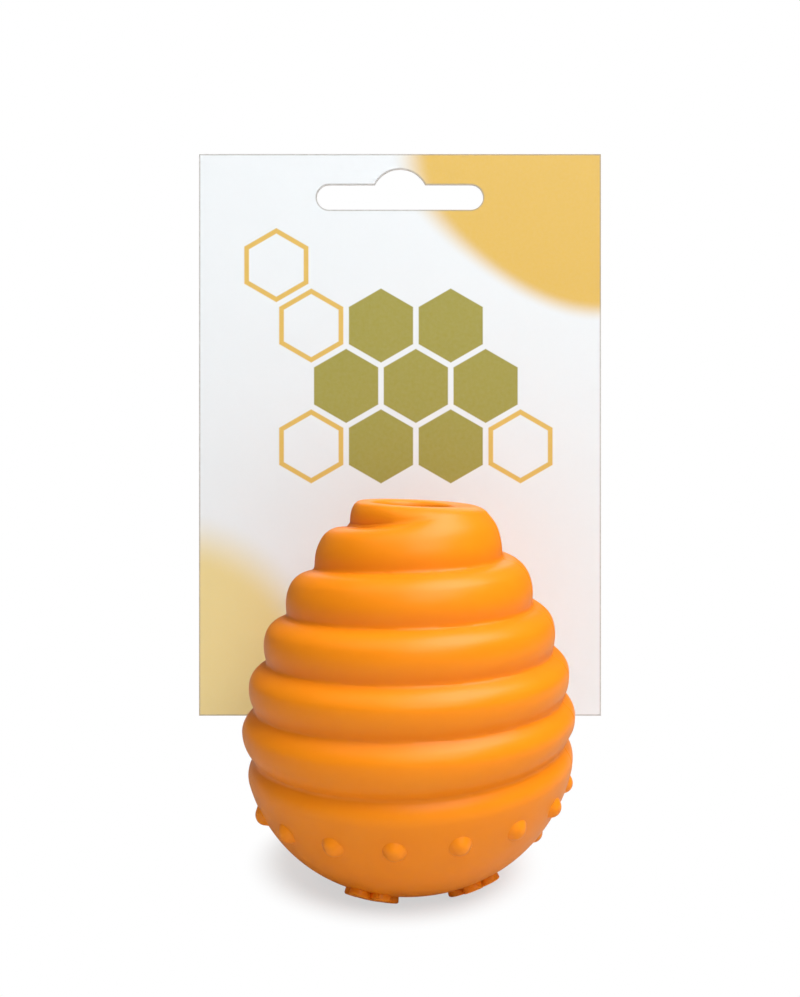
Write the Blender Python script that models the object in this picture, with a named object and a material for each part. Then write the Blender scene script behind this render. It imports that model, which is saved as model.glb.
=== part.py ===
"""A hollow rubber treat toy, shaped like a beehive, tagged to its card.

The toy stands upright on the small flat of its base and on its flower pads, with its
mouth up. The origin is the centre of that flat, +Z is up and -Y is the front. Lengths
are in metres. A turn is one full lap of the spiral, counted counter-clockwise from
above, with 0 at the front where the lowest groove passes.
"""

import math

import bmesh
import bpy
from mathutils import Matrix, Vector

# Rubber body, outer form
BODY_RADIUS = 0.0350          # over the crests of the ridge, at the widest height
WIDEST_HEIGHT = 0.0325
BODY_HEIGHT = 0.0797          # flat of the base to the top of the lip
NECK_RADIUS = 0.0132          # what the tapering outside would reach at the top
TAPER_POWER = 1.91
SHOULDER = 0.0007             # how far the last ridge bulges out of the taper
SHOULDER_DROP = 0.0082        # the bulge starts this far under the body's height
SHOULDER_SPAN = 0.0045
BASE_CUT = 0.00015            # the flat takes this much off the dome
DOME_POWER = 2.06
DOME_FULLNESS = 0.452
DOME_LEAN_X = 0.0007          # the widest part sits right of the base by this much
NECK_LEAN_X = 0.0011          # the mouth is further right and back by this much
NECK_LEAN_Y = 0.0011

# Spiral groove between the turns of the ridge
LOWEST_GROOVE_HEIGHT = 0.0287    # at the front, before the sag
PITCH_AT_BASE = 0.00955
PITCH_GROWTH = 0.000075       # how much the pitch opens up with each turn, halved
LAP_TILT = 0.0445             # slope of the topmost lap, down to the right
GROOVE_SAG = 0.0013           # the lowest lap dips by this much at the front
SAG_SPREAD = 0.17             # turns
RIDGE_TOP = 0.0041            # from a groove down to the crest of the ridge under it
RIDGE_UNDERSIDE = 0.0058      # from a groove up to the crest of the ridge over it
GROOVE_DEPTH = 0.0020         # at the front of the lowest lap
DEPTH_GROWTH = 0.00012        # with each turn
TOP_GROOVE_DROP = 0.0039      # the last lap levels off this far under the body's height
TOP_SOFTNESS = 0.0006
COLLAR_TURN = 4.45            # from here on the groove's upper side is a plain collar
COLLAR_BLEND = 0.25
COLLAR_STRETCH = 0.25
COLLAR_DEPTH = 0.0007         # how much deeper the groove gets under the collar
GROOVE_START = -0.60          # turns, behind the toy
GROOVE_RUN_IN = 0.25
GROOVE_END = 5.12
GROOVE_RUN_OUT = 0.24
RELEASE_TURN = 4.96           # from here on the fading groove climbs up to the lip
RELEASE_SPAN = 0.25

# Mouth and hollow
WALL = 0.0080                 # at the crest of the ridge, at the widest height
FLOOR_THICKNESS = 0.0070
MOUTH_RADIUS = 0.0085
THROAT_LENGTH = 0.0065
LIP_HEIGHT = 0.0027           # the rounded lip starts this far under the body's height
LIP_TILT = 0.0003             # its top is this much lower in front than in the middle
LIP_ROLL = 0.0005             # and this much lower in the middle than at the left

# Nubs along the lower side of the dome
NUB_RADIUS = 0.0023
NUB_SINK = 0.0009             # middle of the ball under the surface
NUB_HEIGHT = 0.0190           # at the front, before the sag
NUB_CLIMB = 0.0105            # rise over one turn
NUB_SAG_SHARE = 0.45          # of the groove's sag
NUB_SPACING = math.radians(21.3)
NUB_COUNT = 18
LAST_NUB = 4                  # nubs right of the front one
FRONT_NUB_ANGLE = math.radians(-4.6)

# Flower pads under the dome
PAD_COUNT = 5
PAD_ANGLE = math.radians(-22.5)
PAD_RING_RADIUS = 0.0175
PAD_PETALS = 5
PAD_RADIUS = 0.0054
PETAL_DEPTH = 0.0010
PAD_PROUD = 0.0012
PAD_ROOT = 0.0020             # how deep a pad's solid reaches into the wall

# Hang card
CARD_WIDTH = 0.1014
CARD_HEIGHT = 0.1417
CARD_THICKNESS = 0.0006
CARD_BOTTOM = 0.0241
CARD_CENTRE_X = -0.0011
SLOT_LENGTH = 0.0420
SLOT_WIDTH = 0.0063
SLOT_HUMP_RADIUS = 0.0071
SLOT_DROP = 0.0109            # top edge of the card to the middle of the slot

# Tag pin
FILAMENT_RADIUS = 0.0005
CROSS_BAR_RADIUS = 0.0006
CROSS_BAR_LENGTH = 0.0100
CLEARANCE = 0.0003

# Fineness of the meshes
COLUMNS = 56
ROWS_PER_RIDGE = (0.0, 0.13, 0.33, 0.56, 0.76, 0.92)
DOME_ROWS = 8
LIP_ROWS = 7
HOLLOW_ROWS = 7
ROUND_STEPS = 16


def clear_scene():
    for item in list(bpy.data.objects):
        bpy.data.objects.remove(item, do_unlink=True)


def new_collection(name):
    group = bpy.data.collections.new(name)
    bpy.context.scene.collection.children.link(group)
    return group


def add_object(name, mesh, group):
    item = bpy.data.objects.new(name, mesh)
    group.objects.link(item)
    return item


def make_cutter(item):
    item.hide_render = True
    item.display_type = "WIRE"
    return item


def make_material(name, color, roughness, metallic=0.0):
    material = bpy.data.materials.new(name)
    material.use_nodes = True
    shader = material.node_tree.nodes["Principled BSDF"]
    shader.inputs["Base Color"].default_value = (*color, 1.0)
    shader.inputs["Roughness"].default_value = roughness
    shader.inputs["Metallic"].default_value = metallic
    return material


def smooth_step(value):
    value = min(max(value, 0.0), 1.0)
    return value * value * (3.0 - 2.0 * value)


# Outer form of the rubber body


def crest_radius(height):
    """Radius over the crests: a slow taper above the widest height, a dome below it."""
    if height > WIDEST_HEIGHT:
        part = (height - WIDEST_HEIGHT) / (BODY_HEIGHT - WIDEST_HEIGHT)
        bulge = SHOULDER * smooth_step((height - BODY_HEIGHT + SHOULDER_DROP) / SHOULDER_SPAN)
        return BODY_RADIUS - (BODY_RADIUS - NECK_RADIUS) * part ** TAPER_POWER + bulge
    part = min((WIDEST_HEIGHT - height) / (WIDEST_HEIGHT + BASE_CUT), 1.0)
    return BODY_RADIUS * (1.0 - part ** DOME_POWER) ** DOME_FULLNESS


def axis_shift(height):
    """How far the axis has moved from the middle of the base at a height."""
    above = max(height - WIDEST_HEIGHT, 0.0) / (BODY_HEIGHT - WIDEST_HEIGHT)
    below = min(max(WIDEST_HEIGHT - height, 0.0) / WIDEST_HEIGHT, 1.0)
    right = DOME_LEAN_X * (1.0 - below ** 1.5) + NECK_LEAN_X * (1.0 - (1.0 - above) ** 2)
    return Vector((right, NECK_LEAN_Y * above ** 1.5, 0.0))


def sag(turn):
    return GROOVE_SAG * math.exp(-(turn / SAG_SPREAD) ** 2)


def groove_height(turn):
    """Height of the groove line: a helix that sags at the front of its lowest lap.

    Its laps tilt down to the right, more with every lap. The last lap levels off
    under the lip, then climbs up to it in front while the groove fades.
    """
    base = LOWEST_GROOVE_HEIGHT + PITCH_AT_BASE * turn + PITCH_GROWTH * turn * turn
    part = min(max(base - WIDEST_HEIGHT, 0.0) / (BODY_HEIGHT - WIDEST_HEIGHT), 1.0)
    tilt = LAP_TILT * math.sqrt(part) * math.sin(math.tau * turn)
    line = base - sag(turn) - tilt * crest_radius(min(base, BODY_HEIGHT))
    highest = BODY_HEIGHT - TOP_GROOVE_DROP
    over = math.exp((highest - line) / TOP_SOFTNESS)
    level = highest - TOP_SOFTNESS * math.log1p(over)
    return level + (line - level) * smooth_step((turn - RELEASE_TURN) / RELEASE_SPAN)


def turn_at(height):
    """The turn at which the groove line reaches a height, by halving a span."""
    low, high = -4.0, GROOVE_END + RELEASE_SPAN + 2.0
    for _ in range(40):
        middle = 0.5 * (low + high)
        if groove_height(middle) < height:
            low = middle
        else:
            high = middle
    return 0.5 * (low + high)


def groove_cut(angle, height):
    """Depth of the outside below the crest line, where each ridge is a round arc.

    Every lap of the groove cuts down into the top side of the ridge under it, and up
    into the longer underside of the ridge over it. The last lap cuts on up into the
    collar under the lip.
    """
    lap = angle / math.tau
    total = 0.0
    deepest = 0.0
    for whole in range(-1, int(GROOVE_END) + 2):
        turn = whole + lap
        collar = smooth_step((turn - COLLAR_TURN) / COLLAR_BLEND)
        bottom = GROOVE_DEPTH + DEPTH_GROWTH * turn + COLLAR_DEPTH * collar
        away = height - groove_height(turn)
        reach = RIDGE_UNDERSIDE if away > 0.0 else RIDGE_TOP
        if away > 0.0:
            away *= 1.0 + (COLLAR_STRETCH - 1.0) * collar
        from_crest = max(reach - abs(away), 0.0)
        arc_radius = (reach ** 2 + bottom ** 2) / (2.0 * bottom)
        depth = arc_radius - math.sqrt(arc_radius ** 2 - from_crest ** 2)
        run_in = smooth_step((turn - GROOVE_START) / GROOVE_RUN_IN)
        run_out = smooth_step((GROOVE_END - turn) / GROOVE_RUN_OUT)
        total += depth * run_in * run_out
        deepest = max(deepest, bottom)
    return min(total, deepest)


def outward(angle):
    return Vector((math.sin(angle), -math.cos(angle), 0.0))


def surface_slope(height):
    step = 0.0001
    return (crest_radius(height + step) - crest_radius(height - step)) / (2.0 * step)


def outside_point(angle, height):
    """A point of the outside, sunk square to the crest line by the groove."""
    angle = (angle + math.pi) % math.tau - math.pi
    slope = surface_slope(height)
    scale = 1.0 / math.sqrt(1.0 + slope ** 2)
    sunk = groove_cut(angle, height)
    radius = crest_radius(height) - sunk * scale
    lifted = height + sunk * slope * scale
    return axis_shift(height) + outward(angle) * radius + Vector((0.0, 0.0, lifted))


def dome_frame(angle, height):
    """Axes at a point of the dome, with local Z pointing straight out of it."""
    slope = surface_slope(height)
    normal = (outward(angle) - Vector((0.0, 0.0, slope))).normalized()
    along = Vector((math.cos(angle), math.sin(angle), 0.0))
    up = normal.cross(along)
    spot = axis_shift(height) + outward(angle) * crest_radius(height)
    spot.z = height
    turn = Matrix((along, up, normal)).transposed().to_4x4()
    return Matrix.Translation(spot) @ turn


def height_at_radius(radius):
    """Height at which the dome has a radius."""
    part = (1.0 - (radius / BODY_RADIUS) ** (1.0 / DOME_FULLNESS)) ** (1.0 / DOME_POWER)
    return WIDEST_HEIGHT - (WIDEST_HEIGHT + BASE_CUT) * part


# Rubber body as one loft


def spiral_limits():
    """First and last turn of the rows that climb, a whole number of laps apart."""
    last = turn_at(BODY_HEIGHT - LIP_HEIGHT)
    lowest = turn_at(0.5 * WIDEST_HEIGHT)
    laps = max(int(last - lowest), 1)
    return last - laps, last, laps


def spiral_columns(mesh):
    """Rows that climb with the groove, cut off level at the bottom and at the top.

    Every column has the same number of rows. A row that would lie beyond a level end
    takes that end's vertex. The last column meets the first one a ridge higher.
    """
    first, last, laps = spiral_limits()
    low, high = groove_height(first), groove_height(last)
    tolerance = 0.0004
    columns = []
    for column in range(COLUMNS):
        angle = math.tau * (first + column / COLUMNS)
        ends = [mesh.verts.new(outside_point(angle, level)) for level in (low, high)]
        rows = []
        for ridge in range(-1, laps + 1):
            start = groove_height(first + column / COLUMNS + ridge)
            end = groove_height(first + column / COLUMNS + ridge + 1)
            for part in ROWS_PER_RIDGE:
                height = start + (end - start) * part
                if height < low + tolerance:
                    rows.append(ends[0])
                elif height > high - tolerance:
                    rows.append(ends[1])
                else:
                    rows.append(mesh.verts.new(outside_point(angle, height)))
        rows.append(ends[1])
        columns.append(rows)
    return columns


def face_if_open(mesh, corners):
    unique = list(dict.fromkeys(corners))
    if len(unique) > 2:
        mesh.faces.new(unique)


def join_columns(mesh, columns):
    shift = len(ROWS_PER_RIDGE)
    last_row = len(columns[0]) - 1
    for index, left in enumerate(columns):
        wraps = index + 1 == len(columns)
        right = columns[0] if wraps else columns[index + 1]
        step = shift if wraps else 0
        for row in range(last_row):
            lower = right[min(row + step, last_row)]
            upper = right[min(row + 1 + step, last_row)]
            face_if_open(mesh, (left[row], lower, upper, left[row + 1]))


def join_rings(mesh, below, above):
    """Band between two rings, facing out when they climb and in when they descend."""
    count = len(below)
    for index in range(count):
        following = (index + 1) % count
        mesh.faces.new((below[index], below[following], above[following], above[index]))


def ring(mesh, points):
    return [mesh.verts.new(point) for point in points]


def column_angles():
    first = spiral_limits()[0]
    return [math.tau * (first + column / COLUMNS) for column in range(COLUMNS)]


def dome_rings(mesh):
    """Rings from just under the flat of the base up to the climbing rows."""
    bottom = -0.5 * BASE_CUT
    top = groove_height(spiral_limits()[0])
    rings = []
    for row in range(DOME_ROWS):
        height = bottom + (top - bottom) * (row / DOME_ROWS) ** 1.8
        rings.append(ring(mesh, [outside_point(angle, height) for angle in column_angles()]))
    return rings


def lean_in(angle, height):
    """How fast the outside leans in towards the mouth, where no groove cuts it."""
    step = outside_point(angle, height) - outside_point(angle, height - 0.0004)
    whole = 1.0 - min(groove_cut(angle, height) / GROOVE_DEPTH, 1.0)
    return min(step.dot(outward(angle)) / step.z, 0.0) * whole


def lip_rings(mesh, outer_ring):
    """Rings over the rounded lip, each an ellipse step from the outside to the throat.

    The outer steps are drawn in, so that the lip runs on from the slope of the outside.
    """
    top = groove_height(spiral_limits()[1])
    leans = [lean_in(angle, top) for angle in column_angles()]
    rings = []
    for row in range(1, LIP_ROWS + 1):
        swing = math.pi * row / LIP_ROWS
        drawn_in = math.sin(swing) * (0.5 + 0.5 * math.cos(swing)) ** 2
        points = []
        for angle, start, lean in zip(column_angles(), outer_ring, leans):
            centre = axis_shift(start.co.z)
            flat = Vector((start.co.x, start.co.y, 0.0)) - centre
            middle = 0.5 * (flat.length + MOUTH_RADIUS)
            half = 0.5 * (flat.length - MOUTH_RADIUS)
            drop = LIP_TILT * math.cos(angle) + LIP_ROLL * (1.0 + math.sin(angle))
            rise = BODY_HEIGHT - drop - start.co.z
            radius = middle + half * math.cos(swing) + lean * rise * drawn_in
            height = start.co.z + rise * math.sin(swing)
            points.append(centre + outward(angle) * radius + Vector((0.0, 0.0, height)))
        rings.append(ring(mesh, points))
    return rings


def hollow_profile():
    """Radius and height of the hollow's rings, from under the throat to its floor."""
    widest = BODY_RADIUS - WALL
    throat_base = BODY_HEIGHT - LIP_HEIGHT - THROAT_LENGTH
    profile = [(MOUTH_RADIUS, throat_base)]
    for row in range(1, HOLLOW_ROWS + 1):
        part = 1.0 - row / HOLLOW_ROWS
        height = WIDEST_HEIGHT + (throat_base - WIDEST_HEIGHT) * part
        radius = widest - (widest - MOUTH_RADIUS) * part ** TAPER_POWER
        profile.append((radius, height))
    for row in range(1, HOLLOW_ROWS):
        swing = 0.5 * math.pi * row / HOLLOW_ROWS
        depth = (WIDEST_HEIGHT - FLOOR_THICKNESS) * math.sin(swing)
        profile.append((widest * math.cos(swing) ** 0.8, WIDEST_HEIGHT - depth))
    profile.append((profile[-1][0] * 0.6, FLOOR_THICKNESS))
    return profile


def hollow_rings(mesh):
    rings = []
    for radius, height in hollow_profile():
        base = axis_shift(height) + Vector((0.0, 0.0, height))
        rings.append(ring(mesh, [base + outward(angle) * radius for angle in column_angles()]))
    return rings


def body_shell():
    """One closed loft: base flat, dome, climbing ridge, lip, throat and hollow."""
    mesh = bmesh.new()
    columns = spiral_columns(mesh)
    join_columns(mesh, columns)
    low_ring = [rows[0] for rows in columns]
    top_ring = [rows[-1] for rows in columns]
    rings = dome_rings(mesh) + [low_ring]
    for below, above in zip(rings, rings[1:]):
        join_rings(mesh, below, above)
    mesh.faces.new(list(reversed(rings[0])))
    inner = [top_ring] + lip_rings(mesh, top_ring) + hollow_rings(mesh)
    for below, above in zip(inner, inner[1:]):
        join_rings(mesh, below, above)
    mesh.faces.new(inner[-1])
    data = bpy.data.meshes.new("rubber_body")
    mesh.to_mesh(data)
    mesh.free()
    return data


# What stands out of the dome


def add_nubs(group):
    for index in range(LAST_NUB + 1 - NUB_COUNT, LAST_NUB + 1):
        angle = FRONT_NUB_ANGLE + NUB_SPACING * index
        turn = angle / math.tau
        height = NUB_HEIGHT + NUB_CLIMB * turn - NUB_SAG_SHARE * sag(turn)
        mesh = bmesh.new()
        bmesh.ops.create_uvsphere(mesh, u_segments=12, v_segments=8, radius=NUB_RADIUS)
        sunk = Matrix.Translation((0.0, 0.0, -NUB_SINK))
        bmesh.ops.transform(mesh, matrix=dome_frame(angle, height) @ sunk, verts=mesh.verts)
        data = bpy.data.meshes.new("nub")
        mesh.to_mesh(data)
        mesh.free()
        make_cutter(add_object(f"nub_{index + NUB_COUNT}", data, group))


def flower_outline():
    """Round outline whose radius dips between its petals."""
    points = []
    steps = 6 * PAD_PETALS
    for step in range(steps):
        angle = math.tau * step / steps
        dip = PETAL_DEPTH * (1.0 - abs(math.cos(0.5 * PAD_PETALS * angle))) ** 2
        points.append((math.cos(angle) * (PAD_RADIUS - dip), math.sin(angle) * (PAD_RADIUS - dip)))
    return points


def add_pads(group):
    height = height_at_radius(PAD_RING_RADIUS)
    for index in range(PAD_COUNT):
        angle = PAD_ANGLE + math.tau * index / PAD_COUNT
        mesh = bmesh.new()
        outline = [mesh.verts.new((x, y, -PAD_ROOT)) for x, y in flower_outline()]
        bottom = mesh.faces.new(outline)
        grown = bmesh.ops.extrude_face_region(mesh, geom=[bottom])["geom"]
        top = [part for part in grown if isinstance(part, bmesh.types.BMVert)]
        bmesh.ops.translate(mesh, vec=(0.0, 0.0, PAD_ROOT + PAD_PROUD), verts=top)
        bmesh.ops.recalc_face_normals(mesh, faces=mesh.faces)
        bmesh.ops.transform(mesh, matrix=dome_frame(angle, height), verts=mesh.verts)
        data = bpy.data.meshes.new("flower_pad")
        mesh.to_mesh(data)
        mesh.free()
        make_cutter(add_object(f"flower_pad_{index + 1}", data, group))


def add_boolean(item, operation, operand=None, collection=None):
    step = item.modifiers.new(operation.lower(), "BOOLEAN")
    step.operation = operation
    step.solver = "EXACT"
    if collection:
        step.operand_type = "COLLECTION"
        step.collection = collection
    else:
        step.object = operand


def cylinder_mesh(name, radius, start, end):
    """A capped cylinder between two points."""
    line = end - start
    mesh = bmesh.new()
    bmesh.ops.create_cone(mesh, cap_ends=True, segments=ROUND_STEPS, radius1=radius,
                          radius2=radius, depth=line.length)
    turn = line.to_track_quat("Z", "Y").to_matrix().to_4x4()
    place = Matrix.Translation(0.5 * (start + end)) @ turn
    bmesh.ops.transform(mesh, matrix=place, verts=mesh.verts)
    data = bpy.data.meshes.new(name)
    mesh.to_mesh(data)
    mesh.free()
    return data


# Where the card and the pin lie


def body_back():
    """How far back the crests of the body reach."""
    levels = [WIDEST_HEIGHT * 0.5 + 0.0005 * step for step in range(80)]
    return max(outside_point(math.pi, level).y for level in levels)


def pin_height():
    """The pin goes through the crest of a ridge, where the body meets the card."""
    return 0.5 * (groove_height(0.5) + groove_height(1.5))


def card_front():
    return body_back() + CLEARANCE


def card_back():
    return card_front() + CARD_THICKNESS


def hollow_back():
    """How far back the hollow reaches at the pin, at the ends of the inner cross bar."""
    half = 0.5 * CROSS_BAR_LENGTH + CROSS_BAR_RADIUS
    reaches = []
    profile = hollow_profile()
    for height in (pin_height() - half, pin_height(), pin_height() + half):
        for (radius, level), (below_radius, below) in zip(profile, profile[1:]):
            if below <= height <= level:
                part = (height - below) / (level - below)
                between = below_radius + (radius - below_radius) * part
                reaches.append(between * math.cos(math.pi / COLUMNS) + axis_shift(height).y)
    return min(reaches)


def below_base():
    """A block whose top is the plane that the toy stands on."""
    mesh = bmesh.new()
    bmesh.ops.create_cube(mesh, size=3.0 * BODY_RADIUS)
    bmesh.ops.translate(mesh, vec=(0.0, 0.0, -1.5 * BODY_RADIUS), verts=mesh.verts)
    data = bpy.data.meshes.new("below_base")
    mesh.to_mesh(data)
    mesh.free()
    return data


def build_body(group, cutters, growths):
    body = add_object("rubber_body", body_shell(), group)
    add_nubs(growths)
    add_pads(growths)
    add_boolean(body, "UNION", collection=growths)
    add_boolean(body, "DIFFERENCE", make_cutter(add_object("below_base", below_base(), cutters)))
    hole = cylinder_mesh("pin_hole", FILAMENT_RADIUS + CLEARANCE,
                         Vector((0.0, hollow_back() - WALL, pin_height())),
                         Vector((0.0, body_back() + WALL, pin_height())))
    add_boolean(body, "DIFFERENCE", make_cutter(add_object("pin_hole", hole, cutters)))
    body.data.shade_smooth()
    body.data.materials.append(make_material("natural_rubber", (0.94, 0.34, 0.03), 0.48))
    return body


# Hang card


def arc(centre, radius, start, end, steps):
    """Points along an arc, in degrees."""
    points = []
    for step in range(steps + 1):
        angle = math.radians(start + (end - start) * step / steps)
        points.append((centre[0] + radius * math.cos(angle), centre[1] + radius * math.sin(angle)))
    return points


def slot_outline():
    """Long round-ended slot with a round hump on its upper side, about its own middle."""
    end_radius = 0.5 * SLOT_WIDTH
    reach = 0.5 * SLOT_LENGTH - end_radius
    meet = math.degrees(math.asin(min(end_radius / SLOT_HUMP_RADIUS, 1.0)))
    right = arc((reach, 0.0), end_radius, -90.0, 90.0, ROUND_STEPS)
    hump = arc((0.0, 0.0), SLOT_HUMP_RADIUS, meet, 180.0 - meet, ROUND_STEPS)
    left = arc((-reach, 0.0), end_radius, 90.0, 270.0, ROUND_STEPS)
    return right + hump + left


def add_outline(curve, points):
    spline = curve.splines.new("POLY")
    spline.points.add(len(points) - 1)
    spline.use_cyclic_u = True
    for point, (x, y) in zip(spline.points, points):
        point.co = (x, y, 0.0, 1.0)


def build_card(group):
    """Flat card with its slot and pin hole, drawn in its own plane and stood up."""
    half_width = 0.5 * CARD_WIDTH
    half_height = 0.5 * CARD_HEIGHT
    middle = Vector((CARD_CENTRE_X, 0.5 * (card_front() + card_back()), CARD_BOTTOM + half_height))
    curve = bpy.data.curves.new("hang_card", "CURVE")
    curve.dimensions = "2D"
    curve.fill_mode = "BOTH"
    curve.extrude = 0.5 * CARD_THICKNESS
    add_outline(curve, [(-half_width, -half_height), (half_width, -half_height),
                        (half_width, half_height), (-half_width, half_height)])
    slot_height = half_height - SLOT_DROP
    add_outline(curve, [(x, y + slot_height) for x, y in slot_outline()])
    pin_spot = (-middle.x, pin_height() - middle.z)
    add_outline(curve, arc(pin_spot, FILAMENT_RADIUS + CLEARANCE, 0.0,
                           360.0 * (ROUND_STEPS - 1) / ROUND_STEPS, ROUND_STEPS - 1))
    card = add_object("hang_card", curve, group)
    card.location = middle
    card.rotation_euler = (0.5 * math.pi, 0.0, 0.0)
    card.data.materials.append(make_material("printed_paperboard", (0.90, 0.90, 0.89), 0.6))
    return card


# Tag pin


def build_fastener(group, cutters):
    """Thin filament with a cross bar inside the hollow and another behind the card."""
    inner = hollow_back() - CLEARANCE - CROSS_BAR_RADIUS
    outer = card_back() + CLEARANCE + CROSS_BAR_RADIUS
    filament = cylinder_mesh("card_fastener", FILAMENT_RADIUS,
                             Vector((0.0, inner, pin_height())), Vector((0.0, outer, pin_height())))
    fastener = add_object("card_fastener", filament, group)
    reach = Vector((0.0, 0.0, 0.5 * CROSS_BAR_LENGTH))
    for name, place in (("inner_bar", inner), ("outer_bar", outer)):
        spot = Vector((0.0, place, pin_height()))
        bar = cylinder_mesh(name, CROSS_BAR_RADIUS, spot - reach, spot + reach)
        add_boolean(fastener, "UNION", make_cutter(add_object(name, bar, cutters)))
    fastener.data.materials.append(make_material("clear_nylon", (0.88, 0.88, 0.86), 0.35))
    return fastener


def main():
    clear_scene()
    toy = new_collection("beehive_treat_toy")
    cutters = new_collection("cutters")
    growths = new_collection("growths")
    build_body(toy, cutters, growths)
    build_card(toy)
    build_fastener(toy, cutters)


main()
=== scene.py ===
"""Looks of a rubber beehive treat toy tagged to its hang card, dressed over its solids.

Lengths are in metres, +Z is up and -Y is the front. A turn is one full lap of the
toy's spiral, counted counter-clockwise from above, with 0 at the front where the
lowest groove passes. An angle of 0 looks to the front and grows towards +X.
"""

import logging
import math
from dataclasses import dataclass, field
from enum import Enum
from typing import Optional, Sequence, Union

import bpy
import numpy as np
from mathutils import Matrix, Vector


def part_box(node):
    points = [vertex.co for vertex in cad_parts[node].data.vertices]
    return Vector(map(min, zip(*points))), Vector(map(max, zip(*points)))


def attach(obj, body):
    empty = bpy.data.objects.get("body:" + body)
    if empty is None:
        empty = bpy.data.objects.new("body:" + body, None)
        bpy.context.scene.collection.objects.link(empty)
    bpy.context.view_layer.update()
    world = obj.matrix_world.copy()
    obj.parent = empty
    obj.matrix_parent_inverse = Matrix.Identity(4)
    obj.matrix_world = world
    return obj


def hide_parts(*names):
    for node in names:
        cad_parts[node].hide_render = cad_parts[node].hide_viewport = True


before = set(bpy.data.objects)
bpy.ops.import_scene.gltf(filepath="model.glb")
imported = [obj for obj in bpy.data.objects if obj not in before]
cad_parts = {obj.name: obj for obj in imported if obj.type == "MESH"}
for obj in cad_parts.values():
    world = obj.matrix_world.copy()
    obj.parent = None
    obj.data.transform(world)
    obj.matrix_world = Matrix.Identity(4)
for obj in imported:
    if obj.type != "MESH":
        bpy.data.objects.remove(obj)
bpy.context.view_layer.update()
LOG = logging.getLogger("beehive_toy")
Color = tuple[float, float, float]
Length = Union[float, np.ndarray]
TURN = 2.0 * math.pi
HALF_ROOT_3 = 0.5 * math.sqrt(3.0)
# Name of the attribute that holds the groove's depth, which paints shade into the groove.
GROOVE = "groove"
BAR_SIDES = 20
CAP_RINGS = 9
BAR_RINGS = 6
FIRST_SWING = 0.03


class Body(Enum):
    """Bodies of the frame that a piece can ride on."""

    TOY = "toy"
    CARD = "card"


class Node(Enum):
    """Solids of the frame."""

    RUBBER = "rubber_body"
    CARD = "hang_card"
    PIN = "card_fastener"


def smooth_step(value: np.ndarray) -> np.ndarray:
    """Three squares less two cubes of a value held between 0 and 1."""
    held = np.clip(value, 0.0, 1.0)
    return held * held * (3.0 - 2.0 * held)


# Meshes from grids of points


def about(centre: np.ndarray, angle: np.ndarray, radius: np.ndarray,
          height: np.ndarray) -> np.ndarray:
    """Points about a centre line: the radius's sine to the right, its cosine to the front.

    Args:
        centre: the line's place at each point.
        angle: angles about it.
        radius: distances from it.
        height: heights over the base.

    Returns:
        Array of points.
    """
    parts = (centre[..., 0] + radius * np.sin(angle), centre[..., 1] - radius * np.cos(angle), height)
    return np.stack(np.broadcast_arrays(*parts), axis=-1)


def ring_faces(count: int, sides: int) -> list[list[int]]:
    """Corner numbers of the faces between rings, with a fan that closes each end.

    Args:
        count: how many rings there are.
        sides: how many points each ring has.

    Returns:
        Quads between neighbouring rings, then triangles to the two end points, which
        follow the rings' own points.
    """
    index = np.arange(count * sides).reshape(count, sides)
    following = np.roll(index, -1, axis=1)
    quads = np.stack((index[:-1], following[:-1], following[1:], index[1:]), axis=-1)
    start = np.full(sides, count * sides)
    bottom = np.stack((start, following[0], index[0]), axis=-1)
    top = np.stack((start + 1, index[-1], following[-1]), axis=-1)
    return quads.reshape(-1, 4).tolist() + bottom.tolist() + top.tolist()


def closed_piece(rings: np.ndarray, name: str) -> bpy.types.Object:
    """Make a closed surface of rings an object at the origin.

    Args:
        rings: array of rings, sides and three coordinates.
        name: the object's and the mesh's name.

    Returns:
        The new object, linked to the scene and shaded smooth.
    """
    ends = np.stack((rings[0].mean(axis=0), rings[-1].mean(axis=0)))
    points = np.concatenate((rings.reshape(-1, 3), ends))
    mesh = bpy.data.meshes.new(name)
    mesh.from_pydata(points.tolist(), [], ring_faces(*rings.shape[:2]))
    mesh.validate()
    mesh.shade_smooth()
    piece = bpy.data.objects.new(name, mesh)
    bpy.context.scene.collection.objects.link(piece)
    return piece


def swept_tube(path: np.ndarray, radii: np.ndarray) -> np.ndarray:
    """Rings of a straight or bent tube.

    Each ring is a circle about its path point, square to the path there, whose radius
    is that point's own.

    Args:
        path: points along the tube, one a row.
        radii: a radius for each point.

    Returns:
        Array of rings, sides and three coordinates.
    """
    along = np.gradient(path, axis=0)
    along /= np.linalg.norm(along, axis=1, keepdims=True)
    across = np.cross(along, np.array([1.0, 0.0, 0.0]))
    across /= np.linalg.norm(across, axis=1, keepdims=True)
    third = np.cross(along, across)
    angle = np.linspace(0.0, TURN, BAR_SIDES, endpoint=False)
    round_part = (np.cos(angle)[None, :, None] * across[:, None, :]
                  + np.sin(angle)[None, :, None] * third[:, None, :])
    return path[:, None, :] + radii[:, None, None] * round_part


def capsule(start: Vector, end: Vector, radius: float, name: str) -> bpy.types.Object:
    """A round bar with half-ball ends.

    Near each end its radius is the height of a quarter circle, from a tiny first ring.

    Args:
        start: the tip of one end.
        end: the tip of the other.
        radius: the bar's radius.
        name: the object's name.

    Returns:
        The bar.
    """
    length = (end - start).length
    swing = np.linspace(FIRST_SWING, 0.5 * math.pi, CAP_RINGS)
    cap = np.sin(swing)
    reach = radius * (1.0 - np.cos(swing))
    middle = np.linspace(radius, length - radius, BAR_RINGS)[1:-1]
    travel = np.concatenate((reach, middle, length - reach[::-1]))
    radii = np.concatenate((cap, np.ones(len(middle)), cap[::-1])) * radius
    line = np.array((end - start).normalized())
    path = np.array(start)[None, :] + travel[:, None] * line[None, :]
    return closed_piece(swept_tube(path, radii), name)


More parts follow.
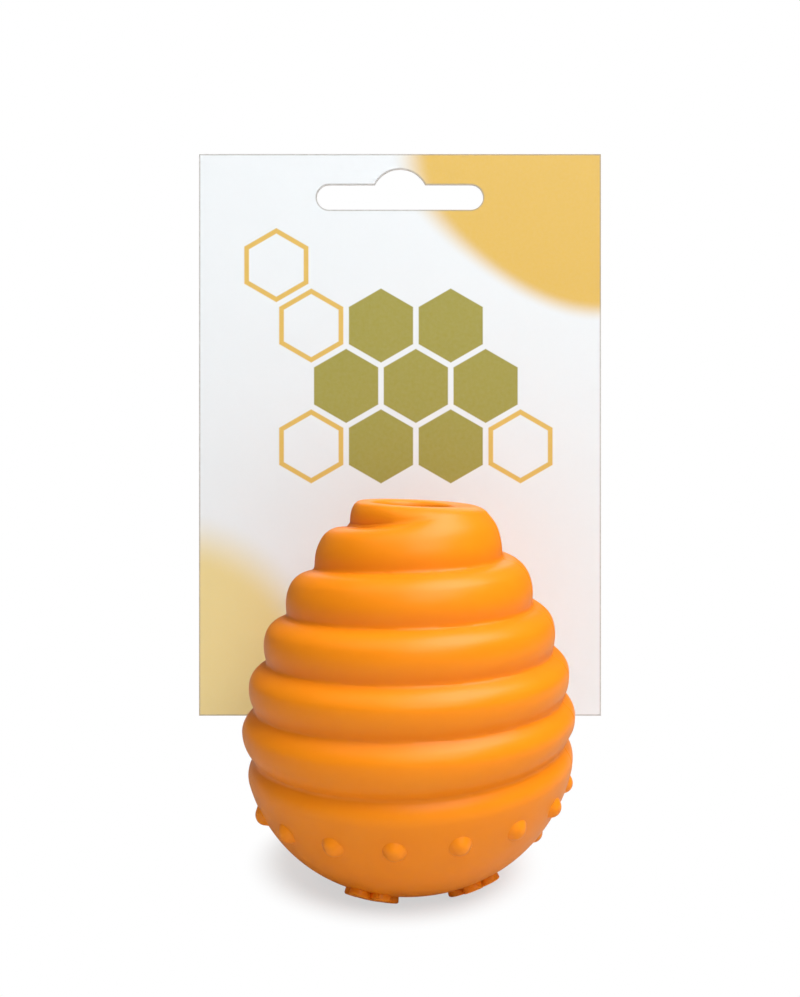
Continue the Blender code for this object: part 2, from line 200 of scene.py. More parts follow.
def apply_modifiers(piece: bpy.types.Object) -> None:
    """Bake an object's modifiers into its own mesh."""
    graph = bpy.context.evaluated_depsgraph_get()
    mesh = bpy.data.meshes.new_from_object(piece.evaluated_get(graph))
    piece.modifiers.clear()
    piece.data = mesh


def weld(piece: bpy.types.Object, distance: float) -> None:
    """Merge points closer than a distance, which clears the slivers that a cut leaves."""
    step = piece.modifiers.new("weld", "WELD")
    step.merge_threshold = distance
    apply_modifiers(piece)


def combine(piece: bpy.types.Object, tools: Sequence[bpy.types.Object], operation: str) -> None:
    """Join tools to a piece or cut them from it, and remove the tools.

    Args:
        piece: the object that changes.
        tools: the objects joined or cut.
        operation: UNION or DIFFERENCE.
    """
    group = bpy.data.collections.new("tools")
    for tool in tools:
        bpy.context.scene.collection.objects.unlink(tool)
        group.objects.link(tool)
    bpy.context.scene.collection.children.link(group)
    step = piece.modifiers.new("combine", "BOOLEAN")
    step.operation = operation
    step.solver = "EXACT"
    step.operand_type = "COLLECTION"
    step.collection = group
    apply_modifiers(piece)
    for tool in tools:
        bpy.data.objects.remove(tool, do_unlink=True)
    bpy.data.collections.remove(group)


def coat(piece: bpy.types.Object, material: bpy.types.Material) -> None:
    """Shade a piece smooth, give it its one material and log its faces."""
    piece.data.shade_smooth()
    piece.data.materials.clear()
    piece.data.materials.append(material)
    LOG.info("%s: %d faces", piece.name, len(piece.data.polygons))


# Shader maths


Value = Union["Signal", float]
Paint = Union[bpy.types.NodeSocket, Color]


class Signal:
    """A number that varies over a surface, written with plain operators."""

    def __init__(self, bench: "Bench", socket: bpy.types.NodeSocket) -> None:
        """Wrap an output socket of a bench's node tree."""
        self.bench = bench
        self.socket = socket

    def _math(self, operation: str, *values: Value) -> "Signal":
        """Add one Math node."""
        node = self.bench.add("ShaderNodeMath", {"operation": operation},
                              dict(enumerate(values)))
        return Signal(self.bench, node.outputs[0])

    def __add__(self, other: Value) -> "Signal":
        """Sum."""
        return self._math("ADD", self, other)

    __radd__ = __add__

    def __sub__(self, other: Value) -> "Signal":
        """Difference."""
        return self._math("SUBTRACT", self, other)

    def __rsub__(self, other: Value) -> "Signal":
        """Difference from a plain number."""
        return self._math("SUBTRACT", other, self)

    def __mul__(self, other: Value) -> "Signal":
        """Product."""
        return self._math("MULTIPLY", self, other)

    __rmul__ = __mul__

    def __abs__(self) -> "Signal":
        """Size without sign."""
        return self._math("ABSOLUTE", self)

    def __pow__(self, other: Value) -> "Signal":
        """Power."""
        return self._math("POWER", self, other)

    def at_most(self, other: Value) -> "Signal":
        """The smaller of two."""
        return self._math("MINIMUM", self, other)

    def at_least(self, other: Value) -> "Signal":
        """The larger of two."""
        return self._math("MAXIMUM", self, other)

    def sine(self) -> "Signal":
        """Sine of an angle in radians."""
        return self._math("SINE", self)

    def below(self, edge: float, blur: float) -> "Signal":
        """1 below an edge and 0 above it, eased over a band centred on the edge."""
        node = self.bench.add(
            "ShaderNodeMapRange", {"interpolation_type": "SMOOTHSTEP"},
            {"Value": self, "From Min": edge - 0.5 * blur, "From Max": edge + 0.5 * blur,
             "To Min": 1.0, "To Max": 0.0})
        return Signal(self.bench, node.outputs["Result"])


def span(across: Signal, up: Signal) -> Signal:
    """Length of a step that goes across and up: the root of the sum of their squares."""
    return (across ** 2.0 + up ** 2.0) ** 0.5


class Bench:
    """The node tree of a material or a world, with its shader to feed."""

    def __init__(self, owner: bpy.types.ID, shader: str = "Principled BSDF") -> None:
        """Start on a new owner's tree, which holds the shader and its output only."""
        owner.use_nodes = True
        self.owner = owner
        self.tree = owner.node_tree
        self.shader = self.tree.nodes[shader]

    def add(self, kind: str, settings: Optional[dict] = None,
            values: Optional[dict] = None) -> bpy.types.Node:
        """Add a node, set it up and feed its sockets.

        Args:
            kind: the node's type name.
            settings: attributes, which are set first.
            values: a Signal, socket, number or tuple for each input, by name or place.

        Returns:
            The new node.
        """
        node = self.tree.nodes.new(kind)
        for key, setting in (settings or {}).items():
            setattr(node, key, setting)
        for key, value in (values or {}).items():
            self.feed(node.inputs[key], value)
        return node

    def feed(self, socket: bpy.types.NodeSocket, value: Union[Value, Paint]) -> None:
        """Link a signal or socket to an input, or set a plain value on it."""
        if isinstance(value, Signal):
            self.tree.links.new(value.socket, socket)
        elif isinstance(value, bpy.types.NodeSocket):
            self.tree.links.new(value, socket)
        elif isinstance(value, tuple) and socket.type == "RGBA":
            socket.default_value = (*value, 1.0)
        else:
            socket.default_value = value

    def place(self) -> bpy.types.NodeSocket:
        """Object coordinates of the surface."""
        return self.add("ShaderNodeTexCoord").outputs["Object"]

    def axes(self) -> tuple[Signal, Signal, Signal]:
        """The three object coordinates as numbers."""
        node = self.add("ShaderNodeSeparateXYZ", None, {"Vector": self.place()})
        return tuple(Signal(self, output) for output in node.outputs)

    def noise(self, size: float, detail: float = 2.0,
              stretch: tuple[float, float, float] = (1.0, 1.0, 1.0)) -> Signal:
        """Noise between about 0 and 1 whose blotches are a real size.

        Args:
            size: metres across a blotch.
            detail: octaves.
            stretch: how much finer the noise is along each axis.

        Returns:
            The noise.
        """
        mapping = self.add("ShaderNodeMapping", None, {"Vector": self.place(), "Scale": stretch})
        node = self.add("ShaderNodeTexNoise", None,
                        {"Vector": mapping.outputs[0], "Scale": 1.0 / size, "Detail": detail})
        return Signal(self, node.outputs["Fac"])

    def ray(self, kind: str) -> Signal:
        """1 for rays of a kind, such as Is Camera Ray, and 0 for others."""
        return Signal(self, self.add("ShaderNodeLightPath").outputs[kind])

    def seen(self) -> Signal:
        """1 where the camera looks, straight or through the nylon, and 0 for other rays."""
        return self.ray("Is Camera Ray").at_least(self.ray("Is Transmission Ray"))

    def mix(self, factor: Value, first: Paint, second: Paint) -> bpy.types.NodeSocket:
        """Blend two colours, from the first at 0 to the second at 1."""
        node = self.add("ShaderNodeMix", {"data_type": "RGBA"}, {"Factor": factor})
        self.feed(node.inputs[6], first)
        self.feed(node.inputs[7], second)
        return node.outputs[2]

    def relief(self, height: Signal) -> None:
        """Let a height in metres stand out of the surface."""
        node = self.add("ShaderNodeBump", None,
                        {"Height": height, "Distance": 1.0, "Strength": 1.0})
        self.feed(self.shader.inputs["Normal"], node.outputs["Normal"])

    def finish(self, **sockets: Union[Value, Paint]) -> bpy.types.ID:
        """Feed the shader's inputs, named with underscores for spaces."""
        for key, value in sockets.items():
            self.feed(self.shader.inputs[key.replace("_", " ")], value)
        return self.owner


# Finishes


@dataclass(frozen=True)
class RubberFinish:
    """Moulded natural rubber: saturated orange, satin, with a faint dusty bloom."""

    color: Color = (0.890, 0.257, 0.004)
    bloom: Color = (0.880, 0.312, 0.019)
    deep: Color = (0.870, 0.236, 0.003)
    # Painted shade: a darker, redder colour mixed into the groove, growing with the groove's depth.
    groove: Color = (0.700, 0.150, 0.001)
    groove_shade_share: float = 0.55
    cloud: float = 0.022
    cloud_share: float = 0.8
    cloud_roughness: float = 0.10
    speck: float = 0.0006
    speck_share: float = 0.08
    speck_roughness: float = 0.08
    streak: float = 0.006
    streak_stretch: tuple[float, float, float] = (1.0, 1.0, 2.0)
    streak_edge: float = 0.45
    streak_blur: float = 0.5
    streak_share: float = 0.10
    grain: float = 0.00022
    grain_depth: float = 0.000007
    waviness: float = 0.006
    waviness_depth: float = 0.00006
    roughness: float = 0.37
    specular: float = 0.22

    def material(self) -> bpy.types.Material:
        """Colour clouds, bloom, painted shade in the groove and fine skin grain.

        Returns:
            The material.
        """
        bench = Bench(bpy.data.materials.new("natural_rubber"))
        clouds = bench.noise(self.cloud)
        specks = bench.noise(self.speck)
        streaks = bench.noise(self.streak, stretch=self.streak_stretch)
        tint = bench.mix(clouds * self.cloud_share, self.deep, self.color)
        haze = streaks.below(self.streak_edge, self.streak_blur) * self.streak_share
        base = bench.mix(haze + specks * self.speck_share, tint, self.bloom)
        # Painted shade: the groove's depth, squared, darkens the colour towards the groove colour.
        attribute = bench.add("ShaderNodeAttribute", {"attribute_name": GROOVE})
        cut = Signal(bench, attribute.outputs["Fac"])
        base = bench.mix(cut ** 2.0 * self.groove_shade_share, base, self.groove)
        grain = bench.noise(self.grain, detail=3.0)
        swell = bench.noise(self.waviness)
        bench.relief(grain * self.grain_depth + swell * self.waviness_depth)
        rough = (self.roughness + (clouds - 0.5) * self.cloud_roughness
                 + (specks - 0.5) * self.speck_roughness)
        return bench.finish(Base_Color=base, Roughness=rough, Specular_IOR_Level=self.specular)


@dataclass(frozen=True)
class BoardPrint:
    """Coated card with soft ochre areas and a cluster of olive and ochre cells."""

    paper: Color = (0.768, 0.806, 0.828)
    ochre: Color = (0.690, 0.442, 0.076)
    pale_ochre: Color = (0.765, 0.620, 0.262)
    olive: Color = (0.322, 0.286, 0.036)
    edge: Color = (0.70, 0.68, 0.65)
    back: Color = (0.60, 0.58, 0.55)
    # Painted shadow: a thin dark line along the card's outline and round the slot, uneven with the
    # grain.
    edge_shade: Color = (0.330, 0.300, 0.270)
    edge_shade_width: float = 0.00030
    edge_shade_least: float = 0.45
    edge_shade_grain: float = 0.5
    corner_out: float = 0.056
    top_reach: float = 0.055
    top_blur: float = 0.008
    top_squash: float = 1.45
    wave_height: float = 0.0030
    wave_rate: float = 90.0
    wave_start: float = 0.4
    low_reach: float = 0.036
    low_blur: float = 0.012
    low_squash: float = 0.8
    cell: float = 0.0083
    cell_gap: float = 0.0010
    cell_across: float = 0.004
    cell_drop: float = 0.0585
    cell_inset: float = 0.0002
    cell_line: float = 0.0014
    cell_blur: float = 0.0003
    front_skin: float = 0.00004
    back_skin: float = 0.00005
    skin_blur: float = 0.00002
    grain: float = 0.0009
    grain_share: float = 0.10
    fibre: float = 0.00035
    fibre_stretch: tuple[float, float, float] = (0.35, 1.0, 1.0)
    fibre_share: float = 0.6
    skin_depth: float = 0.000006
    roughness: float = 0.62
    print_gloss: float = 0.14
    grain_roughness: float = 0.1
    specular: float = 0.35
    slot_length: float = 0.0420
    slot_width: float = 0.0063
    slot_hump: float = 0.0071
    slot_drop: float = 0.0109

    def outside_cell(self, across: Signal, up: Signal, centre: tuple[float, float]) -> Signal:
        """How far a point lies outside a cell, which is a hexagon with a point on top.

        The distance is the largest of three strip distances, one for each pair of
        sides, less half the cell's width.

        Args:
            across: place along the card's width.
            up: place along its height.
            centre: the cell's middle.

        Returns:
            The distance, negative inside.
        """
        side = abs(across - centre[0])
        lift = abs(up - centre[1])
        slanted = side * 0.5 + lift * HALF_ROOT_3
        return side.at_least(slanted) - self.cell

    def cut_edge(self, across: Signal, up: Signal, size: tuple[float, float]) -> Signal:
        """How far a point of the front lies from the nearest cut.

        The slot is a bar with half-round ends and a half circle on its upper side, so
        the distance to it is the smaller of those to the bar's middle line and to the
        circle's middle, each less its radius. The card's outline is a rectangle.

        Args:
            across: place along the card's width, from its middle.
            up: place along its height, from its lower edge.
            size: the card's width and height.

        Returns:
            The distance.
        """
        width, height = size
        lift = up - (height - self.slot_drop)
        end = 0.5 * (self.slot_length - self.slot_width)
        over = (abs(across) - end).at_least(0.0)
        bar = span(over, lift) - 0.5 * self.slot_width
        hump = span(across, lift.at_least(0.0)) - self.slot_hump
        hump = hump.at_least(lift * -1.0)
        side = 0.5 * width - abs(across)
        return bar.at_most(hump).at_most(side).at_most(up).at_most(height - up)

    def material(self, box: tuple[Vector, Vector]) -> bpy.types.Material:
        """Print on the front with a painted shadow line along the cuts, grey board on the back and at
        the cut edges.

        Args:
            box: the card's lowest and highest corner.

        Returns:
            The material.
        """
        low, high = box
        bench = Bench(bpy.data.materials.new("printed_paperboard"))
        across, deep, up = bench.axes()
        across = across - 0.5 * (low[0] + high[0])
        up = up - low[2]
        height = high[2] - low[2]
        grain = bench.noise(self.grain, detail=4.0)
        fibre = bench.noise(self.fibre, detail=3.0, stretch=self.fibre_stretch)

        wave = (across * self.wave_rate + self.wave_start).sine() * self.wave_height
        top = span(across - self.corner_out, (height - up) * self.top_squash) + wave
        color = bench.mix(top.below(self.top_reach, self.top_blur), self.paper, self.ochre)
        low_corner = span(across + self.corner_out, up * self.low_squash)
        pale = low_corner.below(self.low_reach, self.low_blur)
        color = bench.mix(pale, color, self.pale_ochre)
        color = self._honeycomb(bench, color, across, up, height)
        color = bench.mix(grain * self.grain_share, color, self.edge)
        # Painted shadow along the card's cut edges and the slot's rim, darkest right at the cut.
        rim = self.cut_edge(across, up, (high[0] - low[0], height))
        edge_shade_mask = rim.below(self.edge_shade_width, self.edge_shade_width)
        color = bench.mix(edge_shade_mask * (self.edge_shade_least + grain * self.edge_shade_grain), color, self.edge_shade)

        before_back = deep.below(high[1] - self.back_skin, self.skin_blur)
        is_front = deep.below(low[1] + self.front_skin, self.skin_blur)
        board = bench.mix(fibre, self.back, self.edge)
        body = bench.mix(before_back, board, self.edge)
        color = bench.mix(is_front, body, color)
        skin = fibre * self.fibre_share + grain * (1.0 - self.fibre_share)
        bench.relief(skin * self.skin_depth)
        rough = self.roughness - is_front * self.print_gloss + (grain - 0.5) * self.grain_roughness
        return bench.finish(Base_Color=color, Roughness=rough, Specular_IOR_Level=self.specular)

    def _honeycomb(self, bench: Bench, color: bpy.types.NodeSocket, across: Signal,
                   up: Signal, height: float) -> bpy.types.NodeSocket:
        """Seven olive cells in a cluster, with four open ones straggling off it.

        Cells lie on a hexagonal lattice, counted in columns and half-offset rows.

        Args:
            bench: the material's bench.
            color: the print so far.
            across: place along the card's width, from its middle.
            up: place along its height, from its lower edge.
            height: the card's height.

        Returns:
            The print with the cells.
        """
        middle = (self.cell_across, height - self.cell_drop)
        step = 2.0 * self.cell + self.cell_gap
        solid = ((0, 0), (1, 0), (-1, 0), (0, 1), (-1, 1), (0, -1), (-1, -1))
        open_cells = ((-2, 1), (-2, 2), (1, -1), (-2, -1))
        for column, row in solid + open_cells:
            centre = (middle[0] + step * (column + 0.5 * (row % 2)),
                      middle[1] + step * HALF_ROOT_3 * row)
            outside = self.outside_cell(across, up, centre)
            cover = outside.below(-self.cell_inset, self.cell_blur)
            tint = self.olive
            if (column, row) in open_cells:
                cover = cover - outside.below(-self.cell_line, self.cell_blur)
                tint = self.ochre
            color = bench.mix(cover, color, tint)
        return color


@dataclass(frozen=True)
class NylonFinish:
    """Milky clear nylon."""

    color: Color = (0.86, 0.86, 0.83)
    dull: Color = (0.70, 0.70, 0.66)
    dull_share: float = 0.25
    cloud: float = 0.0012
    roughness: float = 0.32
    cloud_roughness: float = 0.12
    transmission: float = 0.35
    refraction: float = 1.53

    def material(self) -> bpy.types.Material:
        """Faint clouding in colour and gloss.

        Returns:
            The material.
        """
        bench = Bench(bpy.data.materials.new("clear_nylon"))
        clouds = bench.noise(self.cloud)
        return bench.finish(Base_Color=bench.mix(clouds * self.dull_share, self.color, self.dull),
                            Roughness=self.roughness + (clouds - 0.5) * self.cloud_roughness,
                            Transmission_Weight=self.transmission, IOR=self.refraction)


# Rubber toy


@dataclass(frozen=True)
class HiveForm:
    """The outside of the toy as a formula of angle and height."""

    radius: float = 0.03496
    widest_height: float = 0.0325
    height: float = 0.0797
    neck_radius: float = 0.0132
    taper_power: float = 1.91
    shoulder: float = 0.0004
    shoulder_height: float = 0.0715
    shoulder_span: float = 0.0045
    base_cut: float = 0.00015
    dome_power: float = 2.06
    dome_fullness: float = 0.452
    neck_lean: tuple[float, float] = (0.0011, 0.0011)
    dome_lean: float = 0.0007
    lean_power: float = 1.5
    lip_height: float = 0.0027
    lowest_groove: float = 0.0287
    pitch: float = 0.00955
    pitch_growth: float = 0.000075
    lap_tilt: float = 0.0445
    sag_depth: float = 0.0013
    sag_spread: float = 0.17
    ridge_top: float = 0.0038
    ridge_underside: float = 0.0055
    groove_depth: float = 0.0020
    depth_growth: float = 0.00012
    groove_round: float = 0.0007
    top_groove: float = 0.0765
    top_softness: float = 0.0006
    collar_turn: float = 4.45
    collar_blend: float = 0.25
    collar_stretch: float = 0.25
    collar_depth: float = 0.0005
    groove_start: float = -0.60
    run_in: float = 0.25
    groove_end: float = 5.09
    run_out: float = 0.24
    release_turn: float = 4.96
    release_span: float = 0.25
    slope_step: float = 0.00005

    def over_widest(self, height: np.ndarray) -> np.ndarray:
        """Height over the widest place as a part of all that is over it, 0 below."""
        return np.clip((height - self.widest_height) / (self.height - self.widest_height), 0.0, None)

    def crest_radius(self, height: np.ndarray) -> np.ndarray:
        """Radius over the crests.

        Above the widest height it is the largest radius less a power of the height, and
        a little more over the shoulder of the last ridge. Below it is a flattened
        circle: one less a power of the depth, to a power.

        Args:
            height: heights over the base.

        Returns:
            The radii.
        """
        taper = self.over_widest(height) ** self.taper_power
        upper = self.radius - (self.radius - self.neck_radius) * taper
        upper += self.shoulder * smooth_step((height - self.shoulder_height) / self.shoulder_span)
        depth = (self.widest_height - height) / (self.widest_height + self.base_cut)
        below = np.clip(depth, 0.0, 1.0)
        lower = self.radius * (1.0 - below ** self.dome_power) ** self.dome_fullness
        return np.where(height > self.widest_height, upper, lower)

    def axis_shift(self, height: np.ndarray) -> np.ndarray:
        """Sideways place of the axis.

        To the right it grows as a falling parabola of the height over the widest place,
        and backwards as a power of that height. Below the widest place it runs out to
        nothing at the base.

        Args:
            height: heights over the base.

        Returns:
            A vector for each height.
        """
        above = self.over_widest(height)
        below = np.clip((self.widest_height - height) / self.widest_height, 0.0, 1.0)
        shift = np.zeros(np.shape(height) + (3,))
        shift[..., 0] = self.dome_lean * (1.0 - below ** self.lean_power)
        shift[..., 0] += self.neck_lean[0] * (1.0 - (1.0 - above) ** 2)
        shift[..., 1] = self.neck_lean[1] * above ** self.lean_power
        return shift

    def sag(self, turn: np.ndarray) -> np.ndarray:
        """Dip of the lowest lap in front: a bell curve of the turn."""
        return self.sag_depth * np.exp(-(turn / self.sag_spread) ** 2)

    def groove_line(self, turn: np.ndarray) -> np.ndarray:
        """Height of the groove's bottom line after a number of turns.

        A helix whose pitch opens up a little, less the sag, tilted down to the right as
        the square root of the height. Near the mouth a soft minimum levels it off, and
        at the end it eases back to the helix and so climbs to the lip.

        Args:
            turn: turns from the lowest lap's front.

        Returns:
            The heights.
        """
        base = self.lowest_groove + self.pitch * turn + self.pitch_growth * turn * turn
        part = np.minimum(self.over_widest(base), 1.0)
        tilt = self.lap_tilt * np.sqrt(part) * np.sin(TURN * turn)
        line = base - self.sag(turn) - tilt * self.crest_radius(np.minimum(base, self.height))
        over = (self.top_groove - line) / self.top_softness
        level = self.top_groove - self.top_softness * np.logaddexp(0.0, over)
        release = smooth_step((turn - self.release_turn) / self.release_span)
        return level + (line - level) * release

    def groove_cut(self, angle: np.ndarray, height: np.ndarray) -> np.ndarray:
        """Depth under the crest line, summed over the laps of the groove.

        A lap cuts a circle's arc into the short top side of the ridge under it, and a
        longer arc into the underside of the ridge over it. Distances have a small round
        at the bottom. The last lap's upper side is stretched into a plain collar, and
        the cut fades in and out at the spiral's ends.

        Args:
            angle: angles about the axis, from half a lap before the front to half after.
            height: heights of the crest line.

        Returns:
            The depths.
        """
        lap = angle / TURN
        total = np.zeros(np.broadcast(angle, height).shape)
        for whole in range(-1, int(self.groove_end) + 2):
            turn = whole + lap
            collar = smooth_step((turn - self.collar_turn) / self.collar_blend)
            bottom = self.groove_depth + self.depth_growth * turn + self.collar_depth * collar
            away = height - self.groove_line(turn)
            stretch = 1.0 + (self.collar_stretch - 1.0) * collar
            reach = np.where(away > 0.0, self.ridge_underside, self.ridge_top)
            away = np.where(away > 0.0, away * stretch, away)
            distance = np.hypot(away, self.groove_round) - self.groove_round
            from_crest = np.clip(reach - distance, 0.0, None)
            arc = (reach ** 2 + bottom ** 2) / (2.0 * bottom)
            depth = arc - np.sqrt(arc ** 2 - from_crest ** 2)
            fade_in = smooth_step((turn - self.groove_start) / self.run_in)
            fade_out = smooth_step((self.groove_end - turn) / self.run_out)
            total += depth * fade_in * fade_out
        deepest = self.groove_depth + self.depth_growth * self.groove_end + self.collar_depth
        return np.minimum(total, deepest)

    def slope(self, height: np.ndarray) -> np.ndarray:
        """How fast the crest radius changes with height."""
        step = self.slope_step
        return (self.crest_radius(height + step) - self.crest_radius(height - step)) / (2.0 * step)

    def outside(self, angle: np.ndarray, height: np.ndarray, proud: np.ndarray) -> np.ndarray:
        """Points of the outside.

        Each lies on the crest line, moved square to it by what stands proud less the
        groove's cut, and carried sideways by the neck's lean.

        Args:
            angle: angles about the axis.
            height: heights of the crest line.
            proud: extra height out of the surface.

        Returns:
            Array of points.
        """
        wrapped = (angle + math.pi) % TURN - math.pi
        slope = self.slope(height)
        scale = 1.0 / np.sqrt(1.0 + slope ** 2)
        out = proud - self.groove_cut(wrapped, height)
        radius = self.crest_radius(height) + out * scale
        return about(self.axis_shift(height), angle, radius, height - out * slope * scale)

    def dome_height(self, radius: Length) -> Length:
        """Height at which the dome has a radius: its crest formula turned round."""
        part = (1.0 - (radius / self.radius) ** (1.0 / self.dome_fullness)) ** (1.0 / self.dome_power)
        return self.widest_height - (self.widest_height + self.base_cut) * part

    def dome_frame(self, angle: float, height: float) -> Matrix:
        """Axes at a point of the dome, with local Z straight out of it.

        Args:
            angle: the point's angle about the axis.
            height: its height.

        Returns:
            Its place and turn.
        """
        slope = float(self.slope(np.array(height)))
        outward = Vector((math.sin(angle), -math.cos(angle), 0.0))
        normal = (outward - Vector((0.0, 0.0, slope))).normalized()
        along = Vector((math.cos(angle), math.sin(angle), 0.0))
        spot = Vector(self.axis_shift(np.array(height)))
        spot += outward * float(self.crest_radius(np.array(height))) + Vector((0.0, 0.0, height))
        turn = Matrix((along, normal.cross(along), normal)).transposed().to_4x4()
        return Matrix.Translation(spot) @ turn


@dataclass
class RubberToy:
    """The hollow rubber moulding with its spiral ridge, nubs, pads and mouth."""

    form: HiveForm = field(default_factory=HiveForm)
    wall: float = 0.0080
    floor: float = 0.0070
    mouth_radius: float = 0.0085
    throat: float = 0.0065
    lip_tilt: float = 0.0003
    lip_roll: float = 0.0005
    lip_squareness: float = 0.86
    inner_squareness: float = 0.50
    lip_rings: int = 25
    throat_rings: int = 5
    neck_rings: int = 22
    belly_rings: int = 14
    belly_power: float = 0.8
    floor_share: float = 0.6
    columns: int = 240
    row_step: float = 0.00040
    crest_samples: int = 4000
    seam_angle: float = math.radians(73.0)
    seam_width: float = 0.00022
    seam_proud: float = 0.00011
    seam_columns: tuple[float, ...] = (-3.4, -2.0, -1.2, -0.6, 0.0, 0.6, 1.2, 2.0, 3.4)
    seam_clearance: float = 1.25
    nub_radius: float = 0.0021
    nub_sink: float = 0.0007
    nub_flare: float = 0.00024
    nub_fillet: float = 0.00024
    nub_root: float = 0.0010
    nub_root_span: float = 0.0008
    nub_rings: int = 30
    nub_sides: int = 36
    nub_height: float = 0.0190
    nub_climb: float = 0.0105
    nub_sag_share: float = 0.45
    nub_spacing: float = math.radians(21.3)
    nub_count: int = 18
    last_nub: int = 4
    front_nub: float = math.radians(-4.6)
    pad_count: int = 5
    first_pad: float = math.radians(-22.5)
    pad_ring: float = 0.0175
    pad_radius: float = 0.0054
    petals: int = 5
    petal_dip: float = 0.0022
    dip_power: float = 1.4
    pad_proud: float = 0.0012
    pad_root: float = 0.0020
    pad_round: float = 0.00035
    pad_crease: float = 0.00028
    crease_start: float = 0.15
    crease_span: float = 0.7
    pad_limit: float = 0.0345
    pad_sides: int = 120
    pad_rings: int = 11
    pad_middle: float = 0.08
    rim_rings: int = 6
    weld_distance: float = 0.00003
    sharp_angle: float = math.radians(34.0)

    @property
    def seams(self) -> tuple[float, float]:
        """Angles of the two mould seams."""
        return self.seam_angle, self.seam_angle - math.pi

    def angles(self) -> np.ndarray:
        """Column angles: an even spread, with extra ones over the two mould seams.

        Returns:
            The angles, rising.
        """
        columns = self.columns
        even = np.linspace(-math.pi, math.pi, columns, endpoint=False)
        near = np.array(self.seam_columns) * self.seam_width / self.form.radius
        clear = np.ones(even.shape, dtype=bool)
        for seam in self.seams:
            clear &= np.abs(even - seam) > self.seam_clearance * np.abs(near).max()
        extra = np.concatenate([seam + near for seam in self.seams])
        return np.sort(np.concatenate((even[clear], extra)))

    def seam(self, angle: np.ndarray, radius: np.ndarray) -> np.ndarray:
        """Height of the mould seam: a bell curve of the distance along the surface.

        Args:
            angle: angles about the axis.
            radius: radii there.

        Returns:
            The heights.
        """
        total = np.zeros(np.broadcast(angle, radius).shape)
        for centre in self.seams:
            away = ((angle - centre + math.pi) % TURN - math.pi) * radius
            total += np.exp(-(away / self.seam_width) ** 2)
        return self.seam_proud * total

    def outside_rows(self, angle: np.ndarray) -> tuple[np.ndarray, np.ndarray]:
        """Rings of the outside at even steps along the crest line, base to lip.

        Args:
            angle: column angles.

        Returns:
            The rings, and at each point the groove's depth as a part of its deepest.
        """
        fine = np.linspace(0.0, self.form.height - self.form.lip_height, self.crest_samples)
        radius = self.form.crest_radius(fine)
        travel = np.concatenate(([0.0], np.cumsum(np.hypot(np.diff(fine), np.diff(radius)))))
        count = int(travel[-1] / (self.row_step * 1.0))
        height = np.interp(np.linspace(0.0, travel[-1], count), travel, fine)
        grid_angle, grid_height = np.meshgrid(angle, height)
        proud = self.seam(grid_angle, self.form.crest_radius(grid_height))
        cut = self.form.groove_cut(grid_angle, grid_height)
        return self.form.outside(grid_angle, grid_height, proud), cut / cut.max()

    def lip_rows(self, angle: np.ndarray, ends: np.ndarray) -> np.ndarray:
        """Rings over the lip.

        Each column swings from the outside to the throat on a squared ellipse, whose
        half width is half the wall there and whose top lies in one tilted plane. Its
        inner half is squarer, for a crisp edge round the mouth. The outer steps are
        drawn in by the slope of the outside times a bell of the swing where no groove
        cuts it, so that the lip runs on from that slope.

        Args:
            angle: column angles.
            ends: the last two rings of the outside.

        Returns:
            The lip's rings.
        """
        last = ends[1]
        swing = np.linspace(0.0, math.pi, self.lip_rings + 1)[1:, None]
        base = last[:, 2]
        centre = self.form.axis_shift(base)
        reach = np.hypot(last[:, 0] - centre[:, 0], last[:, 1] - centre[:, 1])
        power = np.where(swing > 0.5 * math.pi, self.inner_squareness, self.lip_squareness)
        squared_cos = np.sign(np.cos(swing)) * np.abs(np.cos(swing)) ** power
        squared_sin = np.sin(swing).clip(0.0) ** power
        radius = 0.5 * (reach + self.mouth_radius) + 0.5 * (reach - self.mouth_radius) * squared_cos
        drop = self.lip_tilt * np.cos(angle) + self.lip_roll * (1.0 + np.sin(angle))
        rise = self.form.height - drop - base
        step = ends[1] - ends[0]
        slope = (step[:, 0] * np.sin(angle) - step[:, 1] * np.cos(angle)) / step[:, 2]
        cut = self.form.groove_cut(angle, np.full(angle.shape, self.form.height - self.form.lip_height))
        lean = np.minimum(slope, 0.0) * (1.0 - np.clip(cut / self.form.groove_depth, 0.0, 1.0))
        radius += lean * rise * np.sin(swing) * (0.5 + 0.5 * np.cos(swing)) ** 2
        return about(centre, angle, radius, base + rise * squared_sin)

    def hollow_rows(self, angle: np.ndarray) -> np.ndarray:
        """Rings of the hollow, from under the throat to the edge of its floor.

        Above the widest height the radius tapers with the outside's own power, and
        below it follows a slightly flattened circle.

        Args:
            angle: column angles.

        Returns:
            The hollow's rings.
        """
        form = self.form
        widest = form.radius - self.wall
        throat_base = form.height - form.lip_height - self.throat
        part = np.linspace(1.0, 0.0, self.neck_rings)
        upper = form.widest_height + (throat_base - form.widest_height) * part
        upper_radius = widest - (widest - self.mouth_radius) * part ** form.taper_power
        swing = np.linspace(0.0, 0.5 * math.pi, self.belly_rings + 2)[1:-1]
        lower = form.widest_height - (form.widest_height - self.floor) * np.sin(swing)
        lower_radius = widest * np.cos(swing) ** self.belly_power
        last_radius = lower_radius[-1] * self.floor_share
        height = np.concatenate((upper, lower, [self.floor]))[:, None]
        radius = np.concatenate((upper_radius, lower_radius, [last_radius]))[:, None]
        return about(form.axis_shift(height), angle, radius, height)

